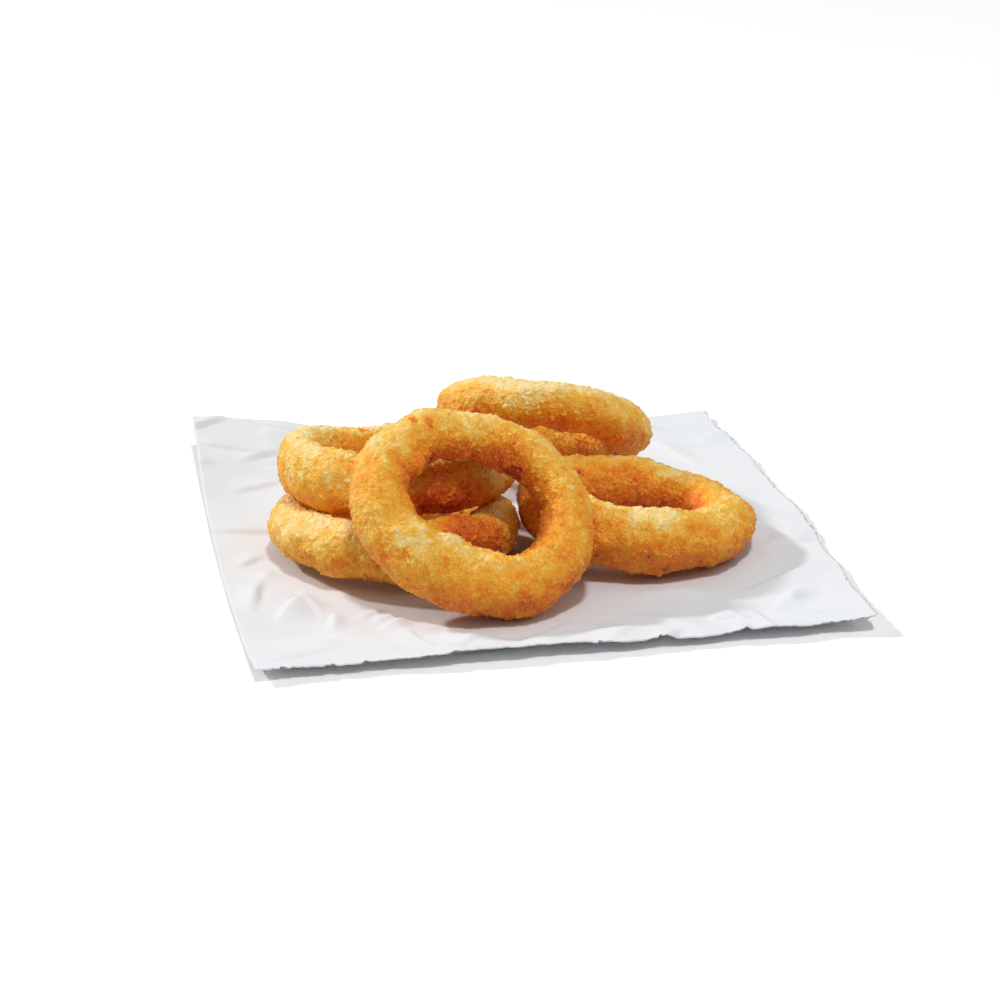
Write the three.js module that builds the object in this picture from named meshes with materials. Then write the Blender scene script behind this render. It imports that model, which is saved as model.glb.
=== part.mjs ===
// A side of onion rings: five crumbed rings in a loose pile on a torn sheet of white paper.
// Two rings lie one on the other at the left and one lies flat at the right. One leans on the back
// of the pile with its far side down on the paper, and one leans on the front with its near side down.
//
// Millimetres. +Z is up, -Y is the front and +X is the right. The origin is on the floor, under the
// middle of the sheet. Bearings are in degrees, anticlockwise from +X as seen from above.
import * as THREE from "three";

const DEGREE = Math.PI / 180;
const TURN = 2 * Math.PI;

// ---- The sheet of paper --------------------------------------------------------------------------
// Its width is across the middle, where the sides bow out, and its length is along the left side.
// The front edge slants back a little to the right. The front and right edges are torn.
const SHEET_WIDTH = 174;
const SHEET_LENGTH = 188;
const SHEET_THICKNESS = 0.35;
const SHEET_COLUMNS = 24;
const SHEET_ROWS = 28;
const LEFT_BOW = { front: 2.4, back: 1.4 };
const RIGHT_BOW = { front: 6, back: 2.5 };
const FRONT_SLANT = 2.5;
const TEAR = { depth: 1.6, whole: 7, frontSeed: 5, rightSeed: 8 };
const PAPER_COLOUR = "#f4f4f5";

// How far the edges and corners stand off the floor, and how far in from the edge the rise begins.
const FRONT_EDGE = { rise: 2.2, reach: 27 };
const RIGHT_EDGE = { rise: 1.1, reach: 20 };
const LEFT_EDGE = { rise: 0.5, reach: 16 };
const BACK_EDGE = { rise: 0.5, reach: 20 };
const BACK_LEFT_CORNER = { rise: 9.2, reach: 52 };
const FRONT_RIGHT_CORNER = { rise: 1.4, reach: 34 };
const FRONT_WAVE = { rise: 1.6, at: -18, width: 20 };
const RIPPLE = { rise: 0.4, lengths: [41, 57, 33], bearings: [20, 84, 141] };
// The paper is pressed flat under each ring and rises freely only this far outside it.
const PRESSED_MARGIN = 14;

// ---- The rings -----------------------------------------------------------------------------------
// radius is that of the ring's centre line, and halfWidth and halfHeight are those of its section.
// A pair such as oval, trefoil, wide or thick is [millimetres, bearing of the largest value].
// lean is the slope of the ring's plane, and uphill is the bearing that it climbs towards.
// A swell stands out of the crust, or is a dent if its height is negative. It is found by its
// bearing round the ring and its angle round the section: 0 outside, 90 on top, 180 in the hole.
const RINGS = {
  ring_left_bottom: {
    centre: [-37.5, -12.5, 9.4], lean: 4, uphill: 252,
    radius: 26.7, oval: [2.1, -25], trefoil: [1.2, 8], warp: [0.1, 60],
    halfWidth: 7.0, halfHeight: 7.4, wide: [0.4, -64], thick: [0.6, -88],
    swells: [], seed: 11,
  },
  ring_left_top: {
    centre: [-32.9, 1.0, 23.4], lean: 6.2, uphill: 247,
    radius: 27.0, oval: [1.0, 23], trefoil: [1.2, -56], warp: [0.5, 1],
    halfWidth: 6.9, halfHeight: 7.6, wide: [0.6, 50], thick: [0.6, -160],
    swells: [
      { bearing: 105, section: 82, height: -1.9, size: 13 },
      { bearing: 222, section: 288, height: 1.9, size: 12 },
      { bearing: 266, section: 80, height: -0.7, size: 8 },
    ],
    seed: 23,
  },
  ring_right: {
    centre: [32.4, -16.2, 10.7], lean: 6.7, uphill: 204,
    radius: 26.1, oval: [0.2, 83], trefoil: [0.4, 1], warp: [0.3, 47],
    halfWidth: 8.5, halfHeight: 8.1, wide: [0.2, -44], thick: [1.5, 177],
    swells: [
      { bearing: 12, section: 62, height: -0.9, size: 9 },
      { bearing: 105, section: 190, height: 0.9, size: 6 },
      { bearing: 215, section: 262, height: 1.6, size: 9 },
      { bearing: 240, section: 112, height: -1.2, size: 9 },
      { bearing: 268, section: 252, height: 2.6, size: 9 },
      { bearing: 304, section: 292, height: 1.3, size: 11 },
    ],
    seed: 37,
  },
  ring_back: {
    centre: [17.2, 38.9, 20.7], lean: 30.4, uphill: 246,
    radius: 24.6, oval: [0.4, 9], trefoil: [0.1, -12], warp: [0, 0],
    halfWidth: 7.6, halfHeight: 7.7, wide: [0.1, -36], thick: [0.5, 117],
    swells: [
      { bearing: 90, section: 200, height: 0.8, size: 5 },
      { bearing: 286, section: 255, height: -1.5, size: 9 },
    ],
    seed: 41,
  },
  ring_front: {
    centre: [-19.5, -45.8, 25.3], lean: 39.6, uphill: 98,
    radius: 24.8, oval: [1.9, -31], trefoil: [0.4, 52], warp: [0.2, 3],
    halfWidth: 7.6, halfHeight: 8.2, wide: [0.9, -126], thick: [0.8, -117],
    swells: [
      { bearing: 122, section: 268, height: -1.3, size: 10 },
      { bearing: 130, section: 50, height: 0.9, size: 9 },
      { bearing: 138, section: 185, height: 1.3, size: 6 },
      { bearing: 160, section: 178, height: -0.9, size: 5 },
      { bearing: 220, section: 148, height: 1.0, size: 7 },
      { bearing: 244, section: 150, height: 2.0, size: 6 },
      { bearing: 272, section: 148, height: 1.5, size: 8 },
    ],
    seed: 59,
  },
};
const QUADS_AROUND = 64;
const QUADS_SECTION = 16;
const CRUST_COLOUR = "#d9a04a";

// The crumb is lumpy: low waves that run slantwise round each ring, drawn from the ring's seed.
const LUMPS = { waves: 9, height: 0.11, fewestAround: 4, mostAround: 12, mostSection: 2 };

// ---- Small tools ---------------------------------------------------------------------------------
function seededRandom(seed) {
  let state = seed;
  return () => {
    state = (state * 1664525 + 1013904223) % 4294967296;
    return state / 4294967296;
  };
}

function smoothStep(value) {
  const t = Math.min(1, Math.max(0, value));
  return t * t * (3 - 2 * t);
}

// The angle in radians wrapped to between -180 and 180 degrees.
function wrapAngle(angle) {
  return angle - TURN * Math.round(angle / TURN);
}

function roundTo4(value) {
  return Math.round(value * 1e4) / 1e4;
}

function solid(name, points, triangles, colour) {
  const geometry = new THREE.BufferGeometry();
  const coordinates = points.flatMap((point) => [point.x, point.y, point.z].map(roundTo4));
  geometry.setAttribute("position", new THREE.Float32BufferAttribute(coordinates, 3));
  geometry.setIndex(triangles);
  geometry.computeVertexNormals();
  const mesh = new THREE.Mesh(geometry, new THREE.MeshStandardMaterial({ color: colour, roughness: 0.8 }));
  mesh.name = name;
  return mesh;
}

// ---- Rings ---------------------------------------------------------------------------------------
// A wave of the given count round the ring, from a pair [size, bearing of its crest].
function waveRound(turn, [size, bearing], count) {
  return size * Math.cos(count * (turn - bearing * DEGREE));
}

function lumpWaves(seed) {
  const random = seededRandom(seed);
  const span = LUMPS.mostAround - LUMPS.fewestAround + 1;
  return Array.from({ length: LUMPS.waves }, () => ({
    around: LUMPS.fewestAround + Math.floor(random() * span),
    section: Math.floor(random() * (2 * LUMPS.mostSection + 1)) - LUMPS.mostSection,
    phase: random() * TURN,
    height: LUMPS.height * (0.5 + random()),
  }));
}

function lumpHeight(waves, turn, roll) {
  return waves.reduce((sum, wave) =>
    sum + wave.height * Math.cos(wave.around * turn + wave.section * roll + wave.phase), 0);
}

function swellHeight(ring, turn, roll) {
  return ring.swells.reduce((sum, swell) => {
    const along = wrapAngle(turn - swell.bearing * DEGREE) * ring.radius;
    const across = wrapAngle(roll - swell.section * DEGREE) * ring.halfWidth;
    return sum + swell.height * Math.exp(-(along ** 2 + across ** 2) / swell.size ** 2);
  }, 0);
}

// A point on the crust, at a turn round the ring and a roll round its section, before it leans.
function crustPoint(ring, waves, turn, roll) {
  const line = ring.radius + waveRound(turn, ring.oval, 2) + waveRound(turn, ring.trefoil, 3);
  const relief = lumpHeight(waves, turn, roll) + swellHeight(ring, turn, roll);
  const width = ring.halfWidth + waveRound(turn, ring.wide, 1) + relief;
  const height = ring.halfHeight + waveRound(turn, ring.thick, 1) + relief;
  const out = line + width * Math.cos(roll);
  const up = waveRound(turn, ring.warp, 2) + height * Math.sin(roll);
  return new THREE.Vector3(out * Math.cos(turn), out * Math.sin(turn), up);
}

// The turn that tips a flat ring up towards its uphill bearing.
function leanTurn(ring) {
  const axisBearing = (ring.uphill - 90) * DEGREE;
  const axis = new THREE.Vector3(Math.cos(axisBearing), Math.sin(axisBearing), 0);
  return new THREE.Quaternion().setFromAxisAngle(axis, ring.lean * DEGREE);
}

function makeRing(name, ring) {
  const waves = lumpWaves(ring.seed);
  const tip = leanTurn(ring);
  const centre = new THREE.Vector3(...ring.centre);
  const points = [];
  const triangles = [];
  for (let i = 0; i < QUADS_AROUND; i++) {
    for (let j = 0; j < QUADS_SECTION; j++) {
      const turn = (i / QUADS_AROUND) * TURN;
      const roll = (j / QUADS_SECTION) * TURN;
      points.push(crustPoint(ring, waves, turn, roll).applyQuaternion(tip).add(centre));
      const next = (i + 1) % QUADS_AROUND;
      const above = (j + 1) % QUADS_SECTION;
      const [a, b] = [i * QUADS_SECTION + j, next * QUADS_SECTION + j];
      const [c, d] = [next * QUADS_SECTION + above, i * QUADS_SECTION + above];
      triangles.push(a, b, c, a, c, d);
    }
  }
  return solid(name, points, triangles, CRUST_COLOUR);
}

// ---- Paper ---------------------------------------------------------------------------------------
// Rise of an edge strip: 0 at reach from the edge, 1 at the edge itself.
function edgeRise(edge, distance) {
  return edge.rise * smoothStep(1 - distance / edge.reach);
}

// 1 in the open paper, 0 where a ring lies on it or close above it.
function openPaper(x, y) {
  let open = 1;
  for (const ring of Object.values(RINGS)) {
    const outside = Math.hypot(x - ring.centre[0], y - ring.centre[1]) - ring.radius - ring.halfWidth;
    open *= smoothStep(outside / PRESSED_MARGIN);
  }
  return open;
}

function ripples(x, y) {
  return RIPPLE.lengths.reduce((sum, length, i) => {
    const bearing = RIPPLE.bearings[i] * DEGREE;
    const along = x * Math.cos(bearing) + y * Math.sin(bearing);
    return sum + RIPPLE.rise * (1 + Math.sin((along / length) * TURN + i)) / 2;
  }, 0);
}

// Height of the sheet's underside above the floor.
function sheetHeight(x, y) {
  const toFront = SHEET_LENGTH / 2 + y;
  const toBack = SHEET_LENGTH / 2 - y;
  const toLeft = SHEET_WIDTH / 2 + x;
  const toRight = SHEET_WIDTH / 2 - x;
  const wave = FRONT_WAVE.rise * Math.exp(-(((x - FRONT_WAVE.at) / FRONT_WAVE.width) ** 2));
  const edges = edgeRise({ rise: FRONT_EDGE.rise + wave, reach: FRONT_EDGE.reach }, toFront)
    + edgeRise(RIGHT_EDGE, toRight) + edgeRise(LEFT_EDGE, toLeft) + edgeRise(BACK_EDGE, toBack);
  const corners = edgeRise(BACK_LEFT_CORNER, (toLeft + toBack) / Math.SQRT2)
    + edgeRise(FRONT_RIGHT_CORNER, (toRight + toFront) / Math.SQRT2);
  return (edges + corners + ripples(x, y)) * openPaper(x, y);
}

// How far a side edge lies inside the sheet's full width, at v from 0 at the front to 1 at the back.
function bowIn(bow, v) {
  const fromMiddle = 2 * v - 1;
  return (fromMiddle < 0 ? bow.front : bow.back) * fromMiddle ** 2;
}

// How far a torn edge is nibbled in at each point along it. One point in TEAR.whole is left whole.
function tearDepths(count, seed) {
  const random = seededRandom(seed);
  const isWhole = (i) => i % TEAR.whole === 0 || i === count;
  return Array.from({ length: count + 1 }, (_, i) => (isWhole(i) ? 0 : TEAR.depth * random()));
}

function makeSheet() {
  const frontTear = tearDepths(SHEET_COLUMNS, TEAR.frontSeed);
  const rightTear = tearDepths(SHEET_ROWS, TEAR.rightSeed);
  const top = [];
  const underside = [];
  for (let row = 0; row <= SHEET_ROWS; row++) {
    for (let column = 0; column <= SHEET_COLUMNS; column++) {
      const u = column / SHEET_COLUMNS;
      const v = row / SHEET_ROWS;
      const left = bowIn(LEFT_BOW, v) - SHEET_WIDTH / 2;
      const right = SHEET_WIDTH / 2 - bowIn(RIGHT_BOW, v);
      const x = left + (right - left) * u - (column === SHEET_COLUMNS ? rightTear[row] : 0);
      const front = FRONT_SLANT * u - SHEET_LENGTH / 2 + (row === 0 ? frontTear[column] : 0);
      const y = front + (SHEET_LENGTH / 2 - front) * v;
      const height = sheetHeight(x, y);
      underside.push(new THREE.Vector3(x, y, height));
      top.push(new THREE.Vector3(x, y, height + SHEET_THICKNESS));
    }
  }
  return solid("paper_sheet", [...top, ...underside], sheetTriangles(), PAPER_COLOUR);
}

// Both faces are split alike, and a band of triangles round the rim joins them.
function sheetTriangles() {
  const across = SHEET_COLUMNS + 1;
  const below = across * (SHEET_ROWS + 1);
  const at = (column, row) => row * across + column;
  const triangles = [];
  for (let row = 0; row < SHEET_ROWS; row++) {
    for (let column = 0; column < SHEET_COLUMNS; column++) {
      const [a, b] = [at(column, row), at(column + 1, row)];
      const [c, d] = [at(column + 1, row + 1), at(column, row + 1)];
      triangles.push(a, b, c, a, c, d);
      triangles.push(below + a, below + c, below + b, below + a, below + d, below + c);
    }
  }
  const rim = sheetRim(at);
  rim.forEach((from, i) => {
    const to = rim[(i + 1) % rim.length];
    triangles.push(from, below + from, below + to, from, below + to, to);
  });
  return triangles;
}

// The rim's points in order, anticlockwise as seen from above.
function sheetRim(at) {
  const rim = [];
  for (let column = 0; column < SHEET_COLUMNS; column++) rim.push(at(column, 0));
  for (let row = 0; row < SHEET_ROWS; row++) rim.push(at(SHEET_COLUMNS, row));
  for (let column = SHEET_COLUMNS; column > 0; column--) rim.push(at(column, SHEET_ROWS));
  for (let row = SHEET_ROWS; row > 0; row--) rim.push(at(0, row));
  return rim;
}

// ---- The whole side ------------------------------------------------------------------------------
const onionRingsSide = new THREE.Group();
onionRingsSide.name = "onion_rings_side";
onionRingsSide.add(makeSheet());
for (const [name, ring] of Object.entries(RINGS)) onionRingsSide.add(makeRing(name, ring));

export default onionRingsSide;
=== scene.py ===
# The looks of a side of onion rings: five crumbed rings in a loose pile on a torn sheet of white paper.
# Metres, +Z up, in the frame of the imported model. Each ring and the sheet is a finer copy of its own
# solid, smoothed, given its crumb or its creases as real relief, and finished with a procedural material.
import itertools

import bmesh
import bpy
import numpy as np
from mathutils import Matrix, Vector
from mathutils.bvhtree import BVHTree
from mathutils.kdtree import KDTree


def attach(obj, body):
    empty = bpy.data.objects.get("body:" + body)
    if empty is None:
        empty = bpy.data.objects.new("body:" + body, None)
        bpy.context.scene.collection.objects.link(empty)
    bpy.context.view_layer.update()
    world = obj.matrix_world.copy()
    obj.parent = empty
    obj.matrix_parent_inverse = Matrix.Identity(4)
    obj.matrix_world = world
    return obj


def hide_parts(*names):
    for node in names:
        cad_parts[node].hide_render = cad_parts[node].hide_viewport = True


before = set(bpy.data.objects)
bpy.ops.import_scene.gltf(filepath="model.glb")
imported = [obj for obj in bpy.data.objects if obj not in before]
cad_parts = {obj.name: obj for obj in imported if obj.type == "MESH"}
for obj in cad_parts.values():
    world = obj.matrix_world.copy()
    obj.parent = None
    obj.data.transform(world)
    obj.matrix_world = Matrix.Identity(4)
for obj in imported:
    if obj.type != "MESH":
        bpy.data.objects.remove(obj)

MM = 0.001

# ---- The view and the light ----------------------------------------------------------------------
CAMERA_PLACE = (-0.13626, -0.68831, 0.26564)
CAMERA_AIM = (0.00175, 0.02835, 0.0)
CAMERA_LENS = 92.27
SKY = {"horizon": 0.16, "overhead": 0.44}
# Each lamp's bearing and elevation in degrees, distance and width in metres, and power in watts.
LAMPS = {
    "overhead": (275, 70, 4.0, 0.48, 69.0),
    "back_left": (144, 34, 4.5, 0.39, 121.0),
    "right_fill": (350, 36, 1.6, 1.0, 2.6),
}
FLOOR = {"reach": 6.0, "below": 0.05 * MM}   # it lies just below the paper, so that the two never mix

# ---- The form of the crust -----------------------------------------------------------------------
# Each ring's random seed, and how much browner than the rest it is all over. A minus makes it paler.
RINGS = {
    "ring_left_bottom": {"seed": 11, "browner": -0.14},
    "ring_left_top": {"seed": 23, "browner": -0.13},
    "ring_right": {"seed": 37, "browner": 0.07},
    "ring_back": {"seed": 41, "browner": -0.08},
    "ring_front": {"seed": 59, "browner": 0.01},
}
RING_LEVELS = 3   # each quad of a ring's solid becomes 8 x 8
# Low lumps of the whole crust, and the smaller clumps on them.
LUMP = {"across": 8.0 * MM, "height": 0.24 * MM}
CLUMP = {"across": 3.0 * MM, "height": 0.13 * MM}
# Crumbs: the spacing of their grid, the share of its cells that hold one, and how far one stands out.
BIG_CRUMB = {"spacing": 1.5 * MM, "cover": 0.22, "height": 0.66 * MM}
CRUMB = {"spacing": 1.0 * MM, "cover": 0.50, "height": 0.40 * MM}
CRUMB_RADIUS = {"least": 0.32, "spread": 0.36}           # as shares of the spacing
CRUMB_WOBBLE = {"across": 1.1 * MM, "reach": 0.2 * MM}   # what pushes the crumbs out of round
GRIT = {"across": 0.1 * MM, "height": 0.10 * MM}
# Bulges of a ring's crust, as (place, radius, height) in millimetres. A minus makes a hollow.
BULGES = {
    "ring_front": [
        ((-34.0, -40.0, 36.0), 4.2, 1.0), ((-39.2, -46.4, 34.1), 3.6, -0.6),
        ((-28.5, -61.5, 23.8), 4.2, 0.9), ((-21.5, -67.0, 19.5), 4.0, -0.7),
    ],
}
# A seam in the front ring's crust: right of it, the crust lies deeper.
SEAM = {"node": "ring_front", "place": (-6.9 * MM, -71.0 * MM, 10.5 * MM), "depth": 0.6 * MM,
        "reach": 13 * MM, "edge": 0.7 * MM}

# ---- The browning of the crust, with painted shade and light -------------------------------------
# How brown it is all over, and the painted shade that makes it browner where it faces into the hole,
# faces down, and where rings close it off. A minus makes it paler: facing up, that is a painted
# highlight.
BROWNING_AND_PAINTED_SHADE = {
    "all_over": 0.28, "painted_shade_facing_in": 0.16, "painted_shade_facing_down": 0.24, "painted_light_facing_up": -0.18, "painted_shade_where_occluded": 0.12,
}
# Rays from each corner of a ring find how far rings close it off, which sets the shade painted there.
# They start a little clear of it, and those that barely leave the skin, with less than the least weight,
# are left out.
OCCLUSION_RAYS = {"rays": 96, "reach": 40 * MM, "clear": 0.5 * MM, "least_weight": 0.05}
# Uneven browning, as (how wide its patches are, how strong, what is added to the ring's seed).
MOTTLE = [(9.0 * MM, 0.04, 100), (3.4 * MM, 0.042, 101), (1.7 * MM, 0.042, 103)]
# Small dark specks, where a random field of about unit spread rises above the start. They fade in over
# the next stretch of it.
DARK_SPECK = {"across": 1.6 * MM, "strength": 0.24, "start": 2.2, "over": 0.8}
# Brown spots of each ring, as (place, radius, how much browner), in millimetres.
SPOTS = {
    "ring_left_bottom": [
        ((-55.8, -39.2, 10.1), 2.4, 0.20), ((-52.2, -41.1, 9.1), 2.6, 0.24),
        ((-46.6, -44.0, 11.2), 2.2, 0.26), ((-47.4, -41.3, 5.6), 2.6, 0.30),
    ],
    "ring_left_top": [
        ((-40.6, 23.4, 27.0), 1.5, 0.40), ((-55.0, -14.7, 34.8), 3.2, 0.18),
        ((-49.8, -17.5, 34.7), 3.2, 0.18),
    ],
    "ring_right": [
        ((33.3, -49.0, 4.5), 1.6, 0.40), ((33.0, -50.4, 15.4), 0.8, 0.22),
        ((55.3, -41.7, 10.9), 1.2, 0.24), ((43.2, -42.9, 17.9), 0.8, 0.22),
    ],
    "ring_back": [
        ((38.1, 29.2, 12.7), 1.8, 0.55), ((11.9, 11.2, 35.0), 1.0, 0.30),
        ((-6.8, 21.6, 31.0), 1.3, 0.40), ((30.7, 13.3, 33.2), 0.9, 0.20),
    ],
    "ring_front": [
        ((-33.9, -33.0, 47.5), 1.4, 0.40), ((-30.4, -33.3, 47.3), 2.0, 0.32),
        ((-42.5, -64.6, 21.1), 1.9, 0.20), ((1.6, -64.5, 17.8), 2.0, 0.14),
        ((-6.4, -37.3, 33.1), 1.6, 0.24),
    ],
}
# Wide patches of painted shade on each ring, written in the same way. A minus makes one paler: painted
# light.
PAINTED_SHADE_PATCHES = {
    "ring_left_bottom": [((-19.0, -38.5, 13.5), 13.0, 0.58)],
    "ring_left_top": [((-25.0, -31.0, 23.0), 11.5, 0.36), ((-8.0, -22.0, 25.0), 5.0, -0.25)],
    "ring_right": [
        ((58.0, -9.0, 14.0), 11.0, 0.12), ((31.0, -45.0, 20.5), 9.0, -0.18),
        ((30.0, -51.5, 12.0), 8.0, 0.07),
    ],
    "ring_back": [((31.0, 43.0, 13.0), 11.0, -0.13), ((6.0, 17.0, 39.0), 12.0, -0.12)],
    "ring_front": [
        ((-21.0, -34.5, 38.5), 8.0, -0.13), ((-44.0, -62.0, 20.0), 14.0, -0.08),
        ((-4.0, -66.0, 16.0), 19.0, 0.09),
    ],
}
# The ragged edge of spots and patches. Two are shares of the radius: how far out a spot ends, and over
# how much of it the edge fades.
SPOT_EDGE = {"across": 1.2 * MM, "ragged": 0.4 * MM, "end": 1.2, "fade": 0.7}

# ---- The colours of the crust --------------------------------------------------------------------
# From least to most brown, as (how brown, colour).
CRUST_TONES = [
    (0.00, (0.98, 0.74, 0.33, 1)), (0.14, (0.97, 0.58, 0.105, 1)), (0.30, (0.95, 0.44, 0.030, 1)),
    (0.46, (0.91, 0.31, 0.014, 1)), (0.62, (0.86, 0.20, 0.012, 1)), (0.80, (0.66, 0.095, 0.012, 1)),
    (1.00, (0.26, 0.030, 0.010, 1)),
]
GRAINS_PER_METRE = 1450.0
DUST_PER_METRE = 2700.0
STEEPNESS = 1.5   # of grains and dust: the higher it is, the narrower each is in its cell
DUST_BUMP = 0.4   # how high dust stands, as a share of a grain
# What changes the shade from grain to grain, as (its middle value, how much browner for 1 above that).
# Grain tops and crumbs are painted paler and the gaps between grains darker, as light and shade fall; the
# tones vary at random.
SHADE_SWINGS = {
    "grain": (0.55, -0.09), "grain_tone": (0.5, 0.14), "dust_tone": (0.5, 0.06), "crest": (0.0, -0.06),
}
# Pale golden specks, painted glints as well as pale crumb: the dust whose random tone lies above a limit,
# which more of it does on a crumb.
PALE_SPECK_AND_PAINTED_GLINT = {"limit": 0.92, "on_crumb": 0.08, "strength": 0.72, "colour": (1.0, 0.79, 0.26, 1.0)}

# ---- The paper -----------------------------------------------------------------------------------
# Its colours, as (strength of a cloudy noise, colour).
PAPER_TONES = [(0.3, (0.735, 0.757, 0.783, 1)), (0.7, (0.755, 0.777, 0.803, 1))]
PAPER_LEVELS = 3            # each quad of the sheet's solid becomes 8 x 8
RIM_ANGLE = 1.0             # in radians: the sheet's faces meet at more than this only along its rim
# The rim is torn in front of one line and right of another. Points beyond those lines, or near them,
# move in by small bites and by wider ones. The rim's mark, raised to a power, keeps this close to it.
TORN = {"front": -0.088, "right": 0.078, "near": 2 * MM, "depth": 0.42 * MM, "across": 1.1 * MM,
        "wider": 4, "wide_share": 0.6, "power": 5}
# Small random folds, which fall off over a sharp width on the left and over a flat one on the right.
FOLDS = {"count": 110, "height": 1.3 * MM, "sharp": (1.2 * MM, 2.6 * MM), "flat": (4.0 * MM, 10.0 * MM),
         "length": (8.0 * MM, 30.0 * MM), "within": (0.085, 0.092)}
CLEAR_OF_RINGS = 7.0 * MM   # over this distance from the rings, the folds rise to their full height
LOW_ON_RING = 9.0 * MM      # below this, a ring is close enough to the sheet to hold it flat
# The sheet's larger folds, from one end to the other, in millimetres. Left of its line, as one goes
# along it, a fold falls off over the first width, and right of it over the second.
NAMED_FOLDS = [
    # start, end, widths, height
    ((-97, 13.5), (-52, 9.5), (10, 2.0), 1.6),
    ((-84, -17), (-70, -3), (6, 1.4), 1.0),
    ((-82, -52), (-76, -22), (5, 1.8), 1.1),
    ((-80, -18), (-64, -25), (2.0, 6), 0.8),
    ((-76, -58), (-66, -40), (1.8, 9), 1.4),
    ((-62, -67), (-59, -52), (1.2, 3.5), 1.0),
    ((-54, -59), (-45, -51), (3.5, 1.2), 0.8),
    ((-51, -69), (-34, -54), (1.6, 8), 1.3),
    ((-40, -64), (-12, -86), (2.4, 8), 1.1),
    ((-16, -87), (6, -68), (2.4, 8), 1.1),
    ((20, -46), (46, -60), (1.6, 10), 1.6),
    ((50, -62), (82, -42), (2.0, 8), 1.2),
    ((54, -78), (72, -57), (1.6, 7), 1.1),
    ((-93, 80), (-72, 97), (4, 1.6), 1.2),
    ((-76, 64), (-56, 77), (7, 1.6), 1.0),
    ((-80, 44), (-60, 55), (7, 1.6), 1.0),
    ((60, 20), (82, -14), (7, 2.0), 1.0),
    ((42, 71), (80, 60), (2.0, 8), 1.0),
    ((56, 74), (70, 42), (6, 1.8), 1.0),
    ((-72, 59), (-28, 73), (2.0, 9), 1.0),
]


# ---- Repeatable randomness -----------------------------------------------------------------------
# A salt, or a number added to a ring's seed, only sets one random field apart from the others.
def cell_random(cells, salt):
    """A number from 0 to 1 for each integer cell of a grid, the same on every run."""
    mixed = cells.astype(np.uint64) @ np.array([73856093, 19349663, 83492791], np.uint64)
    mixed = (mixed + np.uint64(salt * 7919 + 1)) * np.uint64(0x9E3779B97F4A7C15)
    mixed = (mixed ^ (mixed >> np.uint64(31))) * np.uint64(0xBF58476D1CE4E5B9)
    return ((mixed ^ (mixed >> np.uint64(29))) >> np.uint64(11)).astype(float) / 2.0 ** 53


def soft_noise(points, across, salt, waves=28):
    """A smooth random field of about unit spread, with bumps that are about `across` wide.

    It adds up waves of all directions, some a little longer and some a little shorter than that.
    """
    random = np.random.default_rng(salt)
    directions = random.normal(size=(waves, points.shape[1]))
    directions /= np.linalg.norm(directions, axis=1, keepdims=True)
    pitch = np.pi / across * random.uniform(0.6, 1.3, (waves, 1))
    phases = random.uniform(0, 2 * np.pi, waves)
    return np.cos(points @ (directions * pitch).T + phases).sum(1) * np.sqrt(2 / waves)


def crumb_field(points, spacing, cover, salt):
    """How high round crumbs stand at each point: 0 between them, and up to 1 on top of one."""
    cell = np.floor(points / spacing).astype(np.int64)
    height = np.zeros(len(points))
    for offset in itertools.product((-1, 0, 1), repeat=3):
        near = cell + np.array(offset)
        jitter = np.stack([cell_random(near, salt + axis) for axis in range(3)], 1)
        radius = spacing * (CRUMB_RADIUS["least"] + CRUMB_RADIUS["spread"] * cell_random(near, salt + 3))
        present = cell_random(near, salt + 4) < cover
        distance = np.linalg.norm(points - (near + jitter) * spacing, axis=1) / radius
        height = np.maximum(height, present * np.sqrt(np.clip(1 - distance ** 2, 0, None)))
    return height


def smooth_step(value):
    """Rises from 0 to 1 as the value does, with a soft start and end."""
    t = np.clip(value, 0, 1)
    return t * t * (3 - 2 * t)


# ---- Meshes --------------------------------------------------------------------------------------
def quad_copy(node, name):
    """A copy of a node's mesh with its corners merged and its pairs of triangles joined to quads."""
    mesh = bpy.data.meshes.new(name)
    work = bmesh.new()
    work.from_mesh(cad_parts[node].data)
    bmesh.ops.remove_doubles(work, verts=work.verts, dist=1e-6)
    longest = {}
    for face in work.faces:
        edge = max(face.edges, key=lambda e: e.calc_length())
        longest.setdefault(edge, []).append(face)
    diagonals = [edge for edge, faces in longest.items() if len(faces) == 2]
    bmesh.ops.dissolve_edges(work, edges=diagonals, use_verts=False)
    work.to_mesh(mesh)
    work.free()
    return mesh


def smoothed(mesh, name, levels):
    """A new object: the mesh after Catmull-Clark subdivision, with smooth shading."""
    rough = bpy.data.objects.new(name, mesh)
    bpy.context.scene.collection.objects.link(rough)
    subdivision = rough.modifiers.new("subdivision", "SUBSURF")
    subdivision.levels = levels
    subdivision.render_levels = levels
    finished = rough.evaluated_get(bpy.context.evaluated_depsgraph_get())
    result = bpy.data.meshes.new_from_object(finished)
    rough.modifiers.clear()
    rough.data = result
    result.name = name
    result.shade_smooth()
    return rough


def vertex_arrays(mesh):
    """The places and the normals of a mesh's vertices, one row for each."""
    points = np.empty(len(mesh.vertices) * 3)
    mesh.vertices.foreach_get("co", points)
    normals = np.empty(len(mesh.vertices) * 3)
    mesh.vertex_normals.foreach_get("vector", normals)
    return points.reshape(-1, 3), normals.reshape(-1, 3)


def move_vertices(mesh, points):
    """Puts each of a mesh's vertices at its new place."""
    mesh.vertices.foreach_set("co", points.ravel())
    mesh.update()


def store(mesh, name, values):
    """Keeps one number for each vertex, which subdivision spreads and a material can read."""
    attribute = mesh.attributes.new(name, "FLOAT", "POINT")
    attribute.data.foreach_set("value", values.astype(np.float32))


def read_stored(mesh, name):
    """The numbers kept by store, one for each vertex."""
    values = np.empty(len(mesh.vertices), np.float32)
    mesh.attributes[name].data.foreach_get("value", values)
    return values.astype(float)


def give_material(piece, material):
    piece.data.materials.clear()
    piece.data.materials.append(material)


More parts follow.
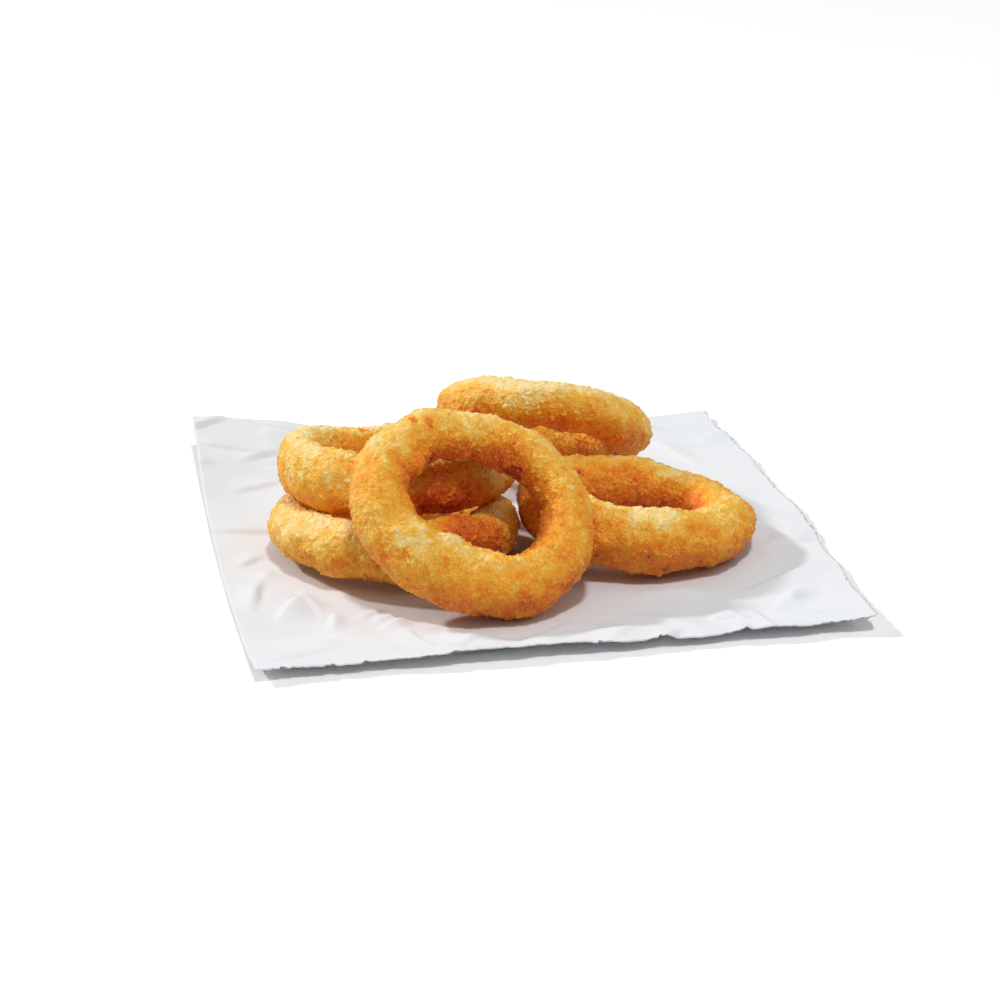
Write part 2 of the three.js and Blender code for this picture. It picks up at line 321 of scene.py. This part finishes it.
# ---- Shader nodes --------------------------------------------------------------------------------
def new_material(name):
    """A new material, with its node tree and its main shader."""
    material = bpy.data.materials.new(name)
    material.use_nodes = True
    return material, material.node_tree, material.node_tree.nodes["Principled BSDF"]


def feed(tree, shader_node, inputs):
    """Sets inputs of a node. Each takes a value, or the output socket that is to feed it."""
    for name, value in inputs.items():
        if isinstance(value, bpy.types.NodeSocket):
            tree.links.new(value, shader_node.inputs[name])
        else:
            shader_node.inputs[name].default_value = value


def add_node(tree, kind, inputs=None, **settings):
    """A new shader node, with its settings and inputs."""
    made = tree.nodes.new("ShaderNode" + kind)
    for name, value in settings.items():
        setattr(made, name, value)
    feed(tree, made, inputs or {})
    return made


def math_node(tree, operation, first, second, clamp=False):
    """The output of a node that works on two numbers."""
    made = add_node(tree, "Math", {0: first, 1: second}, operation=operation, use_clamp=clamp)
    return made.outputs[0]


def ramp(tree, factor, stops):
    """The colour at a factor between stops, each a position with its colour."""
    made = add_node(tree, "ValToRGB", {"Fac": factor})
    elements = made.color_ramp.elements
    while len(elements) < len(stops):
        elements.new(1.0)
    for element, (position, value) in zip(elements, stops):
        element.position = position
        element.color = value
    return made.outputs["Color"]


def granules(tree, place, per_metre):
    """Round grains, closely packed: their height from 0 to 1, and a random tone for each of them."""
    cells = add_node(tree, "TexVoronoi", {"Vector": place, "Scale": per_metre})
    steep = math_node(tree, "MULTIPLY", cells.outputs["Distance"], STEEPNESS)
    height = math_node(tree, "SUBTRACT", 1.0, math_node(tree, "MULTIPLY", steep, steep), clamp=True)
    tone = add_node(tree, "SeparateColor", {"Color": cells.outputs["Color"]}).outputs["Red"]
    return height, tone


# ---- Materials -----------------------------------------------------------------------------------
def crust_shade(tree, grain, grain_tone, dust_tone, crest):
    """The browning, varied from grain to grain: painted light on grain tops and crumbs, painted shade in
    the gaps, and a random tone.
    """
    values = {"grain": grain, "grain_tone": grain_tone, "dust_tone": dust_tone, "crest": crest}
    shade = add_node(tree, "Attribute", attribute_name="browning_and_painted_shade").outputs["Fac"]
    for name, (middle, strength) in SHADE_SWINGS.items():
        above = math_node(tree, "SUBTRACT", values[name], middle)
        shade = math_node(tree, "ADD", shade, math_node(tree, "MULTIPLY", above, strength))
    return shade


def with_pale_specks_and_painted_glints(tree, tone, dust, dust_tone, crest):
    """A colour with a few pale golden specks of dust in it, painted glints as well as pale crumb, more of
    them on the crumbs.
    """
    more = math_node(tree, "MULTIPLY", crest, PALE_SPECK_AND_PAINTED_GLINT["on_crumb"])
    pale = math_node(tree, "GREATER_THAN", math_node(tree, "ADD", dust_tone, more), PALE_SPECK_AND_PAINTED_GLINT["limit"])
    share = math_node(tree, "MULTIPLY", math_node(tree, "MULTIPLY", pale, dust), PALE_SPECK_AND_PAINTED_GLINT["strength"])
    mix = add_node(tree, "MixRGB", {"Fac": share, "Color1": tone, "Color2": PALE_SPECK_AND_PAINTED_GLINT["colour"]})
    return mix.outputs["Color"]


def crust_material():
    """Fried crumb: pale gold to golden, and amber to red-brown where it is browned and where shade is
    painted in.
    """
    material, tree, shader = new_material("fried_crust_crumb")
    place = add_node(tree, "TexCoord").outputs["Object"]
    crest = add_node(tree, "Attribute", attribute_name="crest").outputs["Fac"]
    grain, grain_tone = granules(tree, place, GRAINS_PER_METRE)
    dust, dust_tone = granules(tree, place, DUST_PER_METRE)

    tone = ramp(tree, crust_shade(tree, grain, grain_tone, dust_tone, crest), CRUST_TONES)
    fine = math_node(tree, "ADD", grain, math_node(tree, "MULTIPLY", dust, DUST_BUMP))
    bump = add_node(tree, "Bump", {"Height": fine, "Strength": 1.0, "Distance": 0.17 * MM})
    oily = add_node(tree, "MapRange", {"Value": grain_tone, "To Min": 0.62, "To Max": 0.30})
    feed(tree, shader, {
        "Base Color": with_pale_specks_and_painted_glints(tree, tone, dust, dust_tone, crest),
        "Normal": bump.outputs["Normal"],
        "Roughness": oily.outputs["Result"],
        "Subsurface Weight": 0.22,
        "Subsurface Radius": (1.0, 0.34, 0.10),
        "Subsurface Scale": 1.5 * MM,
        "Specular IOR Level": 0.24,
        "Sheen Weight": 0.04,
        "Sheen Roughness": 0.45,
        "Sheen Tint": (1.0, 0.93, 0.75, 1.0),
    })
    return material


def paper_material():
    """Matt white paper with a faint uneven fibre."""
    material, tree, shader = new_material("white_paper_fibre")
    place = add_node(tree, "TexCoord").outputs["Object"]
    cloud = add_node(tree, "TexNoise", {"Vector": place, "Scale": 90.0, "Detail": 4.0}).outputs["Fac"]
    fibre = add_node(tree, "TexNoise", {"Vector": place, "Scale": 1800.0, "Detail": 4.0}).outputs["Fac"]
    bump = add_node(tree, "Bump", {"Height": fibre, "Strength": 0.12, "Distance": 0.1 * MM})
    feed(tree, shader, {
        "Base Color": ramp(tree, cloud, PAPER_TONES),
        "Normal": bump.outputs["Normal"],
        "Roughness": 0.7,
        "Specular IOR Level": 0.25,
    })
    return material


def floor_material():
    """Plain matt white."""
    material, tree, shader = new_material("white_floor")
    feed(tree, shader, {
        "Base Color": (0.97, 0.97, 0.97, 1.0),
        "Roughness": 0.9,
        "Specular IOR Level": 0.1,
    })
    return material


# ---- The browning of a ring, with painted shade and light ----------------------------------------
def ring_axes(points):
    """A ring's middle, and the direction of its axis, which points up."""
    middle = points.mean(0)
    axis = np.linalg.svd(points - middle, full_matrices=False)[2][2]
    return middle, axis * np.sign(axis[2])


def all_rings_tree():
    """One search tree of the solids of all the rings, for rays to hit."""
    corners, triangles = [], []
    for node in RINGS:
        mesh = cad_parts[node].data
        first = len(corners)
        corners.extend(vertex.co for vertex in mesh.vertices)
        triangles.extend([first + i for i in face.vertices] for face in mesh.polygons)
    return BVHTree.FromPolygons(corners, triangles)


def even_directions(count):
    """Directions spread evenly over a sphere, along a spiral that turns by the golden angle."""
    steps = np.arange(count) + 0.5
    turn = np.pi * (1 + 5 ** 0.5) * steps
    height = 1 - 2 * steps / count
    flat = np.sqrt(1 - height * height)
    return np.stack([flat * np.cos(turn), flat * np.sin(turn), height], 1)


def find_occlusion(mesh, tree):
    """Stores for each corner the share of what it faces, from 0 to 1, that rings close off: it sets
    painted shade.
    """
    directions = even_directions(OCCLUSION_RAYS["rays"])
    points, normals = vertex_arrays(mesh)
    occlusion = np.zeros(len(points))
    for corner, (point, normal) in enumerate(zip(points, normals)):
        weights = np.clip(directions @ normal, 0, None)
        start = Vector(point + OCCLUSION_RAYS["clear"] * normal)
        facing = np.flatnonzero(weights > OCCLUSION_RAYS["least_weight"])
        hits = [tree.ray_cast(start, directions[i], OCCLUSION_RAYS["reach"])[0] is not None for i in facing]
        occlusion[corner] = weights[facing][hits].sum() / weights[facing].sum()
    store(mesh, "occlusion", occlusion)


def spots_and_painted_shade_on(node, points):
    """The brown spots and the wide patches of painted shade of one ring, with ragged edges. The larger
    one is, the softer its edge.
    """
    total = np.zeros(len(points))
    ragged = SPOT_EDGE["ragged"] * soft_noise(points, SPOT_EDGE["across"], 900)
    # Spots are brown marks of the crust; patches are painted shade, and painted light where they make it
    # paler.
    for place, radius, strength in SPOTS[node] + PAINTED_SHADE_PATCHES[node]:
        distance = np.linalg.norm(points - np.array(place) * MM, axis=1)
        inside = SPOT_EDGE["end"] * radius * MM - distance + ragged
        total += strength * smooth_step(inside / (SPOT_EDGE["fade"] * radius * MM))
    return total


def mottle_on(points, seed):
    """Random patches, browner and paler, and small dark specks."""
    patches = sum(strength * soft_noise(points, across, seed + salt) for across, strength, salt in MOTTLE)
    above = soft_noise(points, DARK_SPECK["across"], seed + 102) - DARK_SPECK["start"]
    return patches + DARK_SPECK["strength"] * smooth_step(above / DARK_SPECK["over"])


def browning_and_painted_shade_by_form(points, normals, occlusion):
    """Base browning, plus painted shade where rings close it off, where it faces down and where it faces
    the hole, and painted light where it faces up.
    """
    middle, axis = ring_axes(points)
    outward = points - middle
    outward -= np.outer(outward @ axis, axis)
    outward /= np.linalg.norm(outward, axis=1, keepdims=True)
    # Painted shade where the crust faces the hole, faces down and is closed off by rings, and painted
    # light where it faces up.
    shares = {
        "painted_shade_facing_in": smooth_step(-(normals * outward).sum(1)),
        "painted_shade_facing_down": smooth_step(0.5 - 0.8 * normals[:, 2]),
        "painted_light_facing_up": smooth_step(3.0 * normals[:, 2] - 2.0),
        "painted_shade_where_occluded": occlusion,
    }
    return BROWNING_AND_PAINTED_SHADE["all_over"] + sum(BROWNING_AND_PAINTED_SHADE[name] * share for name, share in shares.items())


def browning_and_painted_shade_of(node, points, normals, occlusion, seed):
    """How brown a ring's crust is at each point, painted shade and light included, where 0 is the palest
    and 1 the darkest.
    """
    browning_and_painted_shade = browning_and_painted_shade_by_form(points, normals, occlusion) + RINGS[node]["browner"]
    return browning_and_painted_shade + mottle_on(points, seed) + spots_and_painted_shade_on(node, points)


# ---- The relief of a ring ------------------------------------------------------------------------
def seam_depth(node, points):
    """How far the crust lies back on the right of the seam, fading out away from it."""
    if node != SEAM["node"]:
        return 0.0
    from_seam = points - np.array(SEAM["place"])
    beyond = smooth_step(from_seam[:, 0] / SEAM["edge"] + 0.5)
    near = smooth_step(1.4 - 1.4 * np.linalg.norm(from_seam, axis=1) / SEAM["reach"])
    return SEAM["depth"] * beyond * near


def bulge_height(node, points):
    """How far the crust stands out in a ring's bulges, or lies back in its hollows."""
    total = np.zeros(len(points))
    for place, radius, height in BULGES.get(node, []):
        distance = np.linalg.norm(points - np.array(place) * MM, axis=1)
        total += height * MM * smooth_step(1.2 - 1.2 * distance / (radius * MM))
    return total


def crumb_height(points, seed):
    """How far the crumbs, small and big, stand out of the crust."""
    bends = [soft_noise(points, CRUMB_WOBBLE["across"], seed + k) for k in range(3)]
    wobbled = points + CRUMB_WOBBLE["reach"] * np.stack(bends, 1)
    big = crumb_field(wobbled, BIG_CRUMB["spacing"], BIG_CRUMB["cover"], seed)
    small = crumb_field(wobbled, CRUMB["spacing"], CRUMB["cover"], seed + 10)
    return np.maximum(BIG_CRUMB["height"] * big, CRUMB["height"] * small)


def crust_relief(node, points, crumbs, seed):
    """How far each point moves out. Smoothing drew the skin in a little, which leaves room for this."""
    lumps = LUMP["height"] * soft_noise(points, LUMP["across"], seed + 20)
    clumps = CLUMP["height"] * soft_noise(points, CLUMP["across"], seed + 30)
    grit = GRIT["height"] * cell_random(np.floor(points / GRIT["across"]).astype(np.int64), seed + 40)
    form = bulge_height(node, points) - seam_depth(node, points)
    return lumps + clumps + crumbs + grit + form


def dress_ring(node, seed, material, rings_tree):
    """The crust of one ring: its solid, smoothed, with its relief, its browning and its painted shade."""
    mesh = quad_copy(node, node + "_crust")
    # How far rings close off each corner, which later paints shade into the crust.
    find_occlusion(mesh, rings_tree)
    piece = smoothed(mesh, node + "_crust", RING_LEVELS)
    points, normals = vertex_arrays(piece.data)
    crumbs = crumb_height(points, seed)
    relief = crust_relief(node, points, crumbs, seed)
    move_vertices(piece.data, points + normals * relief[:, None])
    store(piece.data, "crest", crumbs / CRUMB["height"])   # in heights of a small crumb
    occlusion = read_stored(piece.data, "occlusion")
    # The browning, with its painted shade and light, for the material to read.
    store(piece.data, "browning_and_painted_shade", browning_and_painted_shade_of(node, points, normals, occlusion, seed))
    give_material(piece, material)
    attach(piece, "root")
    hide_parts(node)


# ---- The sheet of paper --------------------------------------------------------------------------
def crease_rim(mesh):
    """Keeps the sheet's rim sharp where it is smoothed, and marks its torn front and right edges."""
    work = bmesh.new()
    work.from_mesh(mesh)
    sharp = work.edges.layers.float.new("crease_edge")
    torn = work.verts.layers.float.new("torn")
    for edge in work.edges:
        if edge.calc_face_angle(0.0) > RIM_ANGLE:
            edge[sharp] = 1.0
            for corner in edge.verts:
                if corner.co.y < TORN["front"] or corner.co.x > TORN["right"]:
                    corner[torn] = 1.0
    work.to_mesh(mesh)
    work.free()


def tear_edges(mesh, points):
    """Makes the torn edges ragged: moves their points inwards, in the plane of the sheet."""
    edge = read_stored(mesh, "torn") ** TORN["power"]
    ragged = TORN["depth"] * soft_noise(points[:, :2], TORN["across"], 301)
    wide_bites = soft_noise(points[:, :2], TORN["wider"] * TORN["across"], 302)
    ragged += TORN["wide_share"] * TORN["depth"] * wide_bites
    is_right = points[:, 0] > TORN["right"] - TORN["near"]
    is_front = points[:, 1] < TORN["front"] + TORN["near"]
    points[:, 0] -= edge * is_right * np.abs(ragged)
    points[:, 1] += edge * is_front * np.abs(ragged)


def distance_to_rings(points):
    """How far each point of the sheet is, seen from above, from the low parts of the rings."""
    low = []
    for node in RINGS:
        corners, _ = vertex_arrays(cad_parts[node].data)
        low.extend(corners[corners[:, 2] < LOW_ON_RING])
    tree = KDTree(len(low))
    for i, corner in enumerate(low):
        tree.insert((corner[0], corner[1], 0), i)
    tree.balance()
    return np.array([tree.find((x, y, 0))[2] for x, y, _ in points])


def fold_height(places, start, end, widths, height):
    """A straight fold: a ridge that falls off over a width on each side, and fades out at its ends."""
    start = np.array(start, float)
    along = np.array(end) - start
    length = np.linalg.norm(along)
    along /= length
    from_start = places - start
    run = from_start @ along / length
    across = from_start @ np.array([-along[1], along[0]])
    fall = np.where(across > 0, across / widths[0], -across / widths[1])
    return height * smooth_step(1.3 - 1.3 * np.abs(2 * run - 1)) * np.clip(1 - fall, 0, 1)


def random_folds(places):
    """Many small folds at random, the same ones on every run."""
    random = np.random.default_rng(7)
    half = np.array(FOLDS["within"])
    total = np.zeros(len(places))
    for _ in range(FOLDS["count"]):
        start = random.uniform(-half, half)
        bearing = random.uniform(0, 2 * np.pi)
        length = random.uniform(*FOLDS["length"])
        end = start + length * np.array([np.cos(bearing), np.sin(bearing)])
        widths = random.uniform(*FOLDS["sharp"]), random.uniform(*FOLDS["flat"])
        total += fold_height(places, start, end, widths, FOLDS["height"] * random.uniform(0.3, 1))
    return total


def named_folds(places):
    """The sheet's larger folds."""
    total = np.zeros(len(places))
    for start, end, widths, height in NAMED_FOLDS:
        total += fold_height(places / MM, start, end, widths, height * MM)
    return total


def dress_paper(material):
    """The sheet: its solid, smoothed, with folds where the rings leave it free and torn edges."""
    mesh = quad_copy("paper_sheet", "paper_creased")
    crease_rim(mesh)
    piece = smoothed(mesh, "paper_creased", PAPER_LEVELS)
    points, _ = vertex_arrays(piece.data)
    open_paper = smooth_step(distance_to_rings(points) / CLEAR_OF_RINGS)
    points[:, 2] += open_paper * (random_folds(points[:, :2]) + named_folds(points[:, :2]))
    tear_edges(piece.data, points)
    move_vertices(piece.data, points)
    give_material(piece, material)
    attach(piece, "root")
    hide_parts("paper_sheet")


# ---- The studio ----------------------------------------------------------------------------------
def aim(thing, place, target):
    """Puts a camera or lamp at a place, and turns it to face a target."""
    thing.location = place
    thing.rotation_euler = (Vector(target) - Vector(place)).to_track_quat("-Z", "Y").to_euler()


def add_camera():
    camera = bpy.data.objects.new("camera", bpy.data.cameras.new("camera"))
    camera.data.lens = CAMERA_LENS
    camera.data.sensor_width = 36.0
    camera.data.clip_end = 50.0
    aim(camera, CAMERA_PLACE, CAMERA_AIM)
    bpy.context.scene.collection.objects.link(camera)
    bpy.context.scene.camera = camera


def place_round(bearing, elevation, distance):
    """A place at a bearing and elevation, in degrees, as seen from the middle of the paper."""
    turn, rise = np.radians(bearing), np.radians(elevation)
    flat = distance * np.cos(rise)
    return flat * np.cos(turn), flat * np.sin(turn), distance * np.sin(rise)


def add_lamp(name, bearing, elevation, distance, width, power):
    """A round white lamp that points at the middle of the paper."""
    light = bpy.data.lights.new(name, "AREA")
    light.shape = "DISK"
    light.size = width
    light.energy = power
    lamp = bpy.data.objects.new(name, light)
    aim(lamp, place_round(bearing, elevation, distance), (0, 0, 0))
    bpy.context.scene.collection.objects.link(lamp)


def add_floor():
    """A plain white floor, level and just below the paper."""
    reach, height = FLOOR["reach"], -FLOOR["below"]
    corners = [(reach * x, reach * y, height) for x, y in ((-1, -1), (1, -1), (1, 1), (-1, 1))]
    mesh = bpy.data.meshes.new("floor")
    mesh.from_pydata(corners, [], [(0, 1, 2, 3)])
    floor = bpy.data.objects.new("floor", mesh)
    floor.data.materials.append(floor_material())
    bpy.context.scene.collection.objects.link(floor)


def add_sky(horizon, overhead):
    """White light from all round, brightest overhead: its strength rises with the cube of the height."""
    world = bpy.data.worlds.new("studio")
    world.use_nodes = True
    tree = world.node_tree
    direction = add_node(tree, "TexCoord").outputs["Generated"]
    height = add_node(tree, "SeparateXYZ", {"Vector": direction}).outputs["Z"]
    cube = math_node(tree, "POWER", math_node(tree, "MAXIMUM", height, 0.0), 3.0)
    strength = math_node(tree, "ADD", math_node(tree, "MULTIPLY", cube, overhead), horizon)
    feed(tree, tree.nodes["Background"], {"Strength": strength, "Color": (1.0, 1.0, 1.0, 1.0)})
    bpy.context.scene.world = world


def build_studio():
    """The camera, the floor, the sky and the lamps."""
    add_camera()
    add_floor()
    add_sky(SKY["horizon"], SKY["overhead"])
    for name, settings in LAMPS.items():
        add_lamp(name, *settings)
    bpy.context.scene.view_settings.view_transform = "Standard"


# ---- The whole side ------------------------------------------------------------------------------
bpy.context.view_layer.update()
build_studio()
crust = crust_material()
crust_tree = all_rings_tree()
for ring_node, ring in RINGS.items():
    dress_ring(ring_node, ring["seed"], crust, crust_tree)
dress_paper(paper_material())
